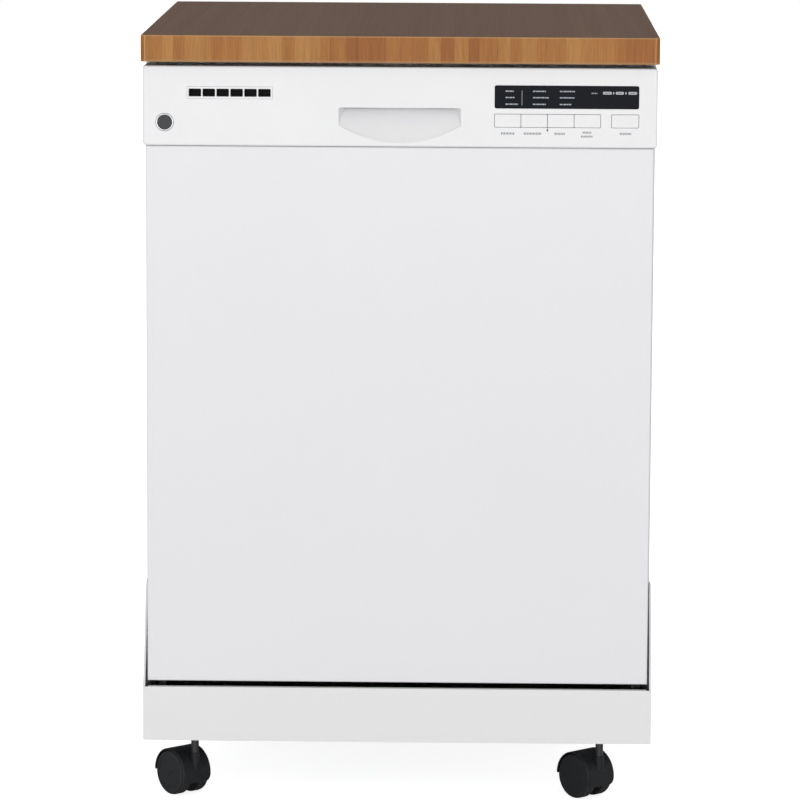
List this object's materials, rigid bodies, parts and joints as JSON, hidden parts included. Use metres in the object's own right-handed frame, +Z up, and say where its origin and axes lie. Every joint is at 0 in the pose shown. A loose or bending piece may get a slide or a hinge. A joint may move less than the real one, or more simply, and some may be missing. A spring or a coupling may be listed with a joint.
{
  "type": "portable dishwasher",
  "caption": "Free-standing front-opening dishwasher on swivel casters, with a wood-look worktop, pocket handle, push-button console and pull-out racks.",
  "frame": {"origin": "on the floor, under the middle of the worktop", "axes": "+X to the right seen from the front, +Y to the back (the door faces -Y), +Z up"},
  "size_m": [0.622, 0.65, 0.94],
  "materials": {
    "laminate": "satin butcher-block laminate",
    "white_enamel": "smooth white baked enamel",
    "white_plastic": "smooth white moulded plastic",
    "grey_tub": "moulded grey polypropylene, satin",
    "zinc_steel": "zinc-plated folded sheet",
    "steel": "brushed stainless steel",
    "black_rubber": "matt black rubber",
    "black_plastic": "black moulded plastic with light grain",
    "black_glass": "glossy black display window",
    "grey_plastic": "grey moulded plastic",
    "wire_coat": "blue-grey nylon coating on steel wire",
    "board": "green circuit board",
    "pump_casing": "dark moulded pump casing"
  },
  "bodies": {
    "cabinet": {"worktop": "laminate", "side_panel_left": "white_enamel", "side_panel_right": "white_enamel", "back_panel": "zinc_steel", "base_frame": "zinc_steel", "kick_panel": "white_enamel", "tub": "grey_tub", "door_gasket": "black_rubber", "top_rail": "zinc_steel", "latch_strike": "steel", "sump": "grey_plastic", "filter_screen": "steel", "wash_pump": "pump_casing", "drain_pump": "pump_casing", "inlet_valve": "white_plastic", "heater_element": "steel", "spray_feed_tube": "grey_plastic", "hinge_brackets": "zinc_steel", "door_springs": "steel", "rack_rollers": "white_plastic", "cabinet_screws": "steel", "hose_connector": "black_plastic", "caster_stems": "zinc_steel"},
    "door": {"door_skin": "white_enamel", "console": "white_plastic", "door_liner": "grey_tub", "vent_grille": "white_plastic", "display_window": "black_glass", "control_board": "board", "latch_body": "black_plastic", "dispenser_body": "grey_plastic", "hinge_arms": "zinc_steel", "door_screws": "steel"},
    "button_1": {"button_1": "white_plastic"},
    "button_2": {"button_2": "white_plastic"},
    "button_3": {"button_3": "white_plastic"},
    "button_4": {"button_4": "white_plastic"},
    "button_power": {"button_power": "white_plastic"},
    "dispenser_lid": {"dispenser_lid": "grey_plastic"},
    "rinse_cap": {"rinse_cap": "black_plastic"},
    "float": {"float": "white_plastic"},
    "lower_spray_arm": {"lower_spray_arm": "grey_plastic"},
    "upper_rack": {"upper_rack": "wire_coat", "rack_manifold": "grey_plastic"},
    "upper_spray_arm": {"upper_spray_arm": "grey_plastic"},
    "lower_rack": {"lower_rack": "wire_coat", "lower_rack_wheels": "white_plastic", "cutlery_basket": "grey_plastic"},
    "caster_front_left": {"caster_front_left_hood": "black_plastic"},
    "wheel_front_left_left": {"caster_front_left_wheel_left": "black_plastic"},
    "wheel_front_left_right": {"caster_front_left_wheel_right": "black_plastic"},
    "caster_front_right": {"caster_front_right_hood": "black_plastic"},
    "wheel_front_right_left": {"caster_front_right_wheel_left": "black_plastic"},
    "wheel_front_right_right": {"caster_front_right_wheel_right": "black_plastic"},
    "caster_rear_left": {"caster_rear_left_hood": "black_plastic"},
    "wheel_rear_left_left": {"caster_rear_left_wheel_left": "black_plastic"},
    "wheel_rear_left_right": {"caster_rear_left_wheel_right": "black_plastic"},
    "caster_rear_right": {"caster_rear_right_hood": "black_plastic"},
    "wheel_rear_right_left": {"caster_rear_right_wheel_left": "black_plastic"},
    "wheel_rear_right_right": {"caster_rear_right_wheel_right": "black_plastic"}
  },
  "joints": [
    {"name": "door_hinge", "type": "hinge", "parent": "cabinet", "child": "door", "pos_m": [0, -0.272, 0.187], "axis": [1, 0, 0], "range_deg": [0, 90], "stiffness_Nm_per_rad": 15},
    {"name": "button_1_press", "type": "slide", "parent": "door", "child": "button_1", "axis": [0, 1, 0], "range_m": [0, 0.0015], "stiffness_N_per_m": 600, "springref_m": -0.001},
    {"name": "button_2_press", "type": "slide", "parent": "door", "child": "button_2", "axis": [0, 1, 0], "range_m": [0, 0.0015], "stiffness_N_per_m": 600, "springref_m": -0.001},
    {"name": "button_3_press", "type": "slide", "parent": "door", "child": "button_3", "axis": [0, 1, 0], "range_m": [0, 0.0015], "stiffness_N_per_m": 600, "springref_m": -0.001},
    {"name": "button_4_press", "type": "slide", "parent": "door", "child": "button_4", "axis": [0, 1, 0], "range_m": [0, 0.0015], "stiffness_N_per_m": 600, "springref_m": -0.001},
    {"name": "button_power_press", "type": "slide", "parent": "door", "child": "button_power", "axis": [0, 1, 0], "range_m": [0, 0.0015], "stiffness_N_per_m": 600, "springref_m": -0.001},
    {"name": "dispenser_lid_slide", "type": "slide", "parent": "door", "child": "dispenser_lid", "axis": [-1, 0, 0], "range_m": [0, 0.054]},
    {"name": "rinse_cap_twist", "type": "hinge", "parent": "door", "child": "rinse_cap", "pos_m": [0.088, -0.262, 0.531], "axis": [0, 1, 0], "range_deg": [0, 90]},
    {"name": "float_rise", "type": "slide", "parent": "cabinet", "child": "float", "axis": [0, 0, 1], "range_m": [0, 0.01]},
    {"name": "lower_spray_arm_spin", "type": "hinge", "parent": "cabinet", "child": "lower_spray_arm", "pos_m": [0, 0.02, 0.213], "axis": [0, 0, 1], "continuous": true},
    {"name": "upper_rack_slide", "type": "slide", "parent": "cabinet", "child": "upper_rack", "axis": [0, -1, 0], "range_m": [0, 0.44]},
    {"name": "lower_rack_slide", "type": "slide", "parent": "cabinet", "child": "lower_rack", "axis": [0, -1, 0], "range_m": [0, 0.19]},
    {"name": "upper_spray_arm_spin", "type": "hinge", "parent": "upper_rack", "child": "upper_spray_arm", "pos_m": [0, 0.02, 0.51], "axis": [0, 0, 1], "continuous": true},
    {"name": "caster_front_left_swivel", "type": "hinge", "parent": "cabinet", "child": "caster_front_left", "pos_m": [-0.249, -0.294, 0.05], "axis": [0, 0, 1], "continuous": true},
    {"name": "wheel_front_left_left_spin", "type": "hinge", "parent": "caster_front_left", "child": "wheel_front_left_left", "pos_m": [-0.26539, -0.27579, 0.0275], "axis": [0.7431, 0.6691, 0], "continuous": true},
    {"name": "wheel_front_left_right_spin", "type": "hinge", "parent": "caster_front_left", "child": "wheel_front_left_right", "pos_m": [-0.26539, -0.27579, 0.0275], "axis": [0.7431, 0.6691, 0], "continuous": true},
    {"name": "caster_front_right_swivel", "type": "hinge", "parent": "cabinet", "child": "caster_front_right", "pos_m": [0.249, -0.294, 0.05], "axis": [0, 0, 1], "continuous": true},
    {"name": "wheel_front_right_left_spin", "type": "hinge", "parent": "caster_front_right", "child": "wheel_front_right_left", "pos_m": [0.23261, -0.27579, 0.0275], "axis": [0.7431, 0.6691, 0], "continuous": true},
    {"name": "wheel_front_right_right_spin", "type": "hinge", "parent": "caster_front_right", "child": "wheel_front_right_right", "pos_m": [0.23261, -0.27579, 0.0275], "axis": [0.7431, 0.6691, 0], "continuous": true},
    {"name": "caster_rear_left_swivel", "type": "hinge", "parent": "cabinet", "child": "caster_rear_left", "pos_m": [-0.249, 0.262, 0.05], "axis": [0, 0, 1], "continuous": true},
    {"name": "wheel_rear_left_left_spin", "type": "hinge", "parent": "caster_rear_left", "child": "wheel_rear_left_left", "pos_m": [-0.26539, 0.28021, 0.0275], "axis": [0.7431, 0.6691, 0], "continuous": true},
    {"name": "wheel_rear_left_right_spin", "type": "hinge", "parent": "caster_rear_left", "child": "wheel_rear_left_right", "pos_m": [-0.26539, 0.28021, 0.0275], "axis": [0.7431, 0.6691, 0], "continuous": true},
    {"name": "caster_rear_right_swivel", "type": "hinge", "parent": "cabinet", "child": "caster_rear_right", "pos_m": [0.249, 0.262, 0.05], "axis": [0, 0, 1], "continuous": true},
    {"name": "wheel_rear_right_left_spin", "type": "hinge", "parent": "caster_rear_right", "child": "wheel_rear_right_left", "pos_m": [0.23261, 0.28021, 0.0275], "axis": [0.7431, 0.6691, 0], "continuous": true},
    {"name": "wheel_rear_right_right_spin", "type": "hinge", "parent": "caster_rear_right", "child": "wheel_rear_right_right", "pos_m": [0.23261, 0.28021, 0.0275], "axis": [0.7431, 0.6691, 0], "continuous": true}
  ],
  "couplings": [
    {"joint": "upper_rack_slide", "follows": "door_hinge", "m_per_rad": 0.28},
    {"joint": "lower_rack_slide", "follows": "door_hinge", "m_per_rad": 0.12}
  ]
}
